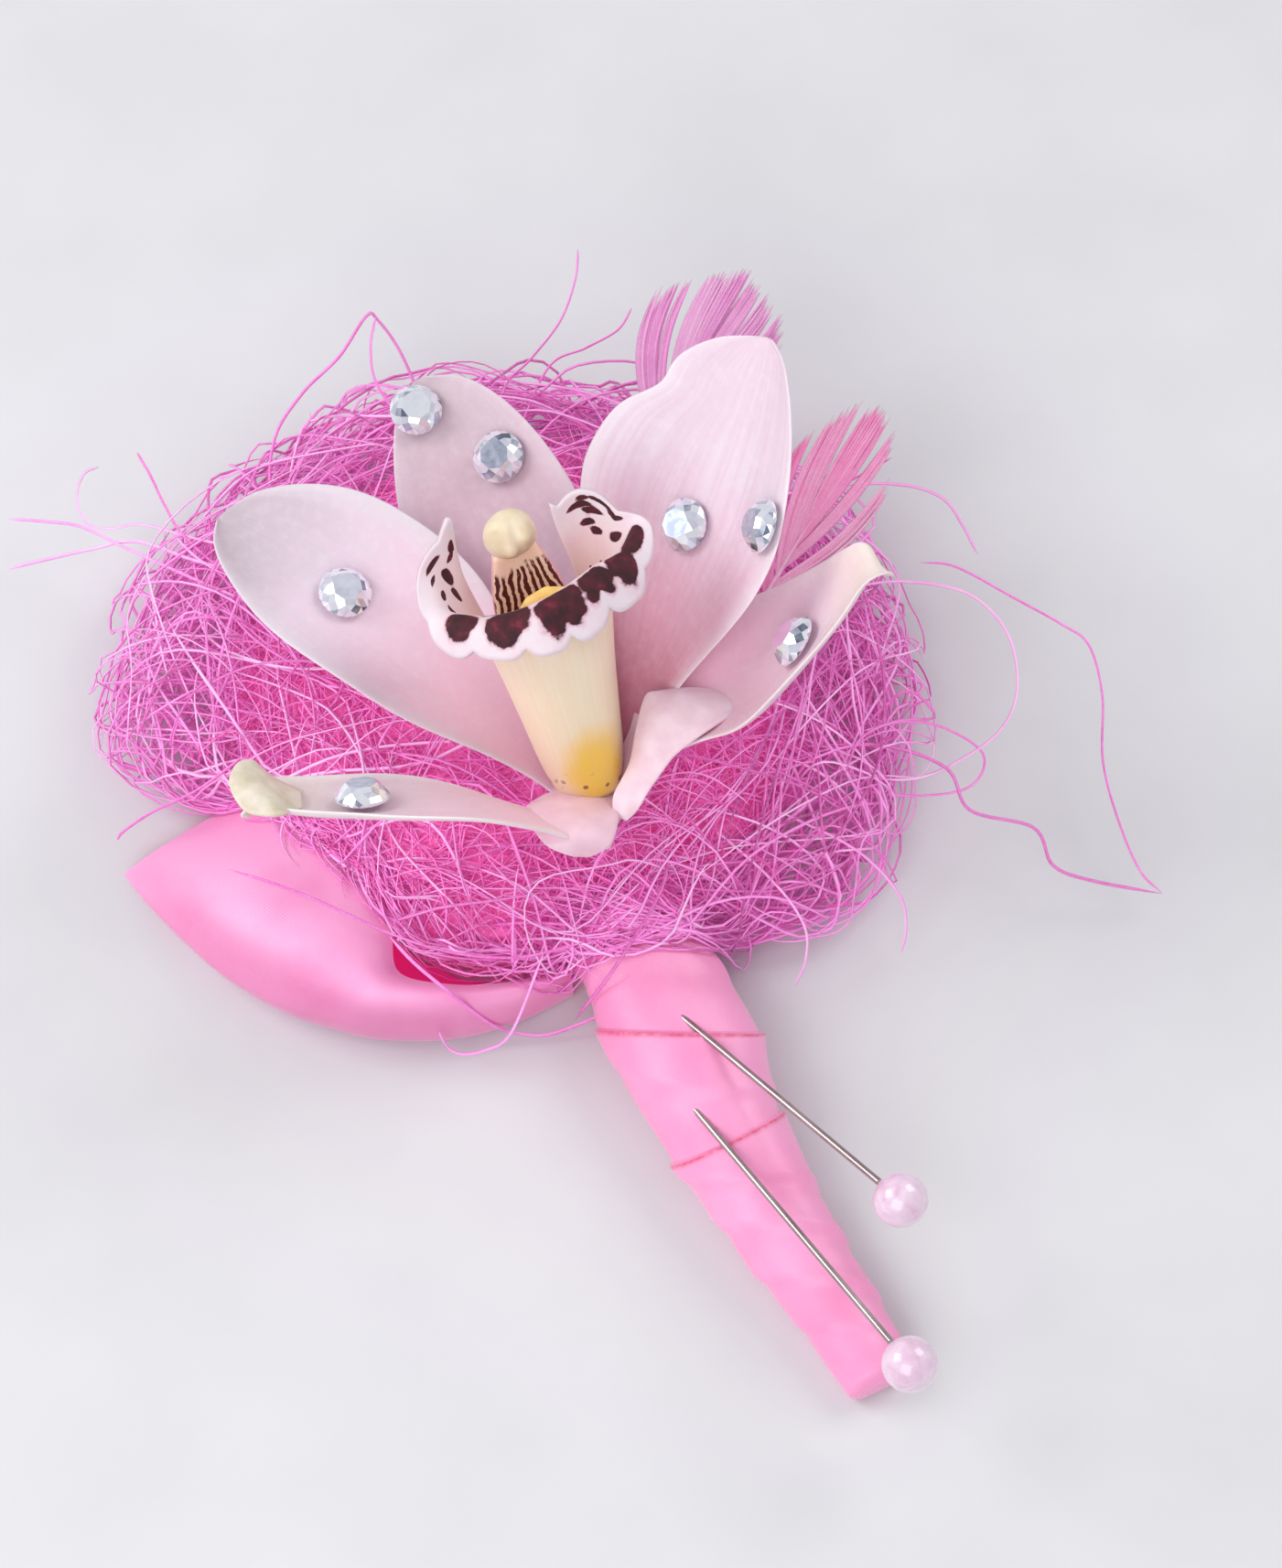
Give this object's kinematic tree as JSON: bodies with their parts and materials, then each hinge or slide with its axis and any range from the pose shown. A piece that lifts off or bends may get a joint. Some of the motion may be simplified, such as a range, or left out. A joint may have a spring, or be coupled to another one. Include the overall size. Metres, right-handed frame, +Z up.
{
  "type": "orchid corsage",
  "caption": "Pink orchid bloom on a nest of dyed sisal, with a ribbon loop, feathers, rhinestones, pearl-headed pins and a ribbon-wrapped stem, lying flat.",
  "frame": {"origin": "on the rest plane, directly beneath the bloom's heart", "axes": "-Y along the wrapped stem, +Z up from the rest plane, +X to the right"},
  "size_m": [0.1081, 0.1446, 0.0576],
  "materials": {
    "petal": "waxy fresh petal, pale pink with paler edges",
    "lip": "waxy cream petal with maroon spots",
    "column": "waxy peach flesh with maroon streaks",
    "anther": "waxy pale yellow",
    "stalk": "fresh green stalk",
    "tape": "matte green florist's tape",
    "satin": "glossy ribbed satin ribbon",
    "sisal": "dyed sisal fibre",
    "pale_feather": "soft dyed feather",
    "hot_feather": "soft dyed feather",
    "stone": "faceted clear rhinestone with a foiled back",
    "steel": "bright steel",
    "pearl": "pearlescent"
  },
  "bodies": {
    "root": {"dorsal_sepal": "petal", "petal_left": "petal", "petal_right": "petal", "lateral_sepal_left": "petal", "lateral_sepal_right": "petal", "lip": "lip", "column": "column", "anther_cap": "anther", "pedicel": "stalk", "taped_stem": "tape", "ribbon_wrap": "satin", "ribbon_loop": "satin", "sisal_nest": "sisal", "feather_top": "pale_feather", "feather_side": "hot_feather", "rhinestone_1": "stone", "rhinestone_2": "stone", "rhinestone_3": "stone", "rhinestone_4": "stone", "rhinestone_5": "stone", "rhinestone_6": "stone", "rhinestone_7": "stone", "pin_shaft_1": "steel", "pin_shaft_2": "steel", "pearl_head_1": "pearl", "pearl_head_2": "pearl"}
  },
  "joints": []
}
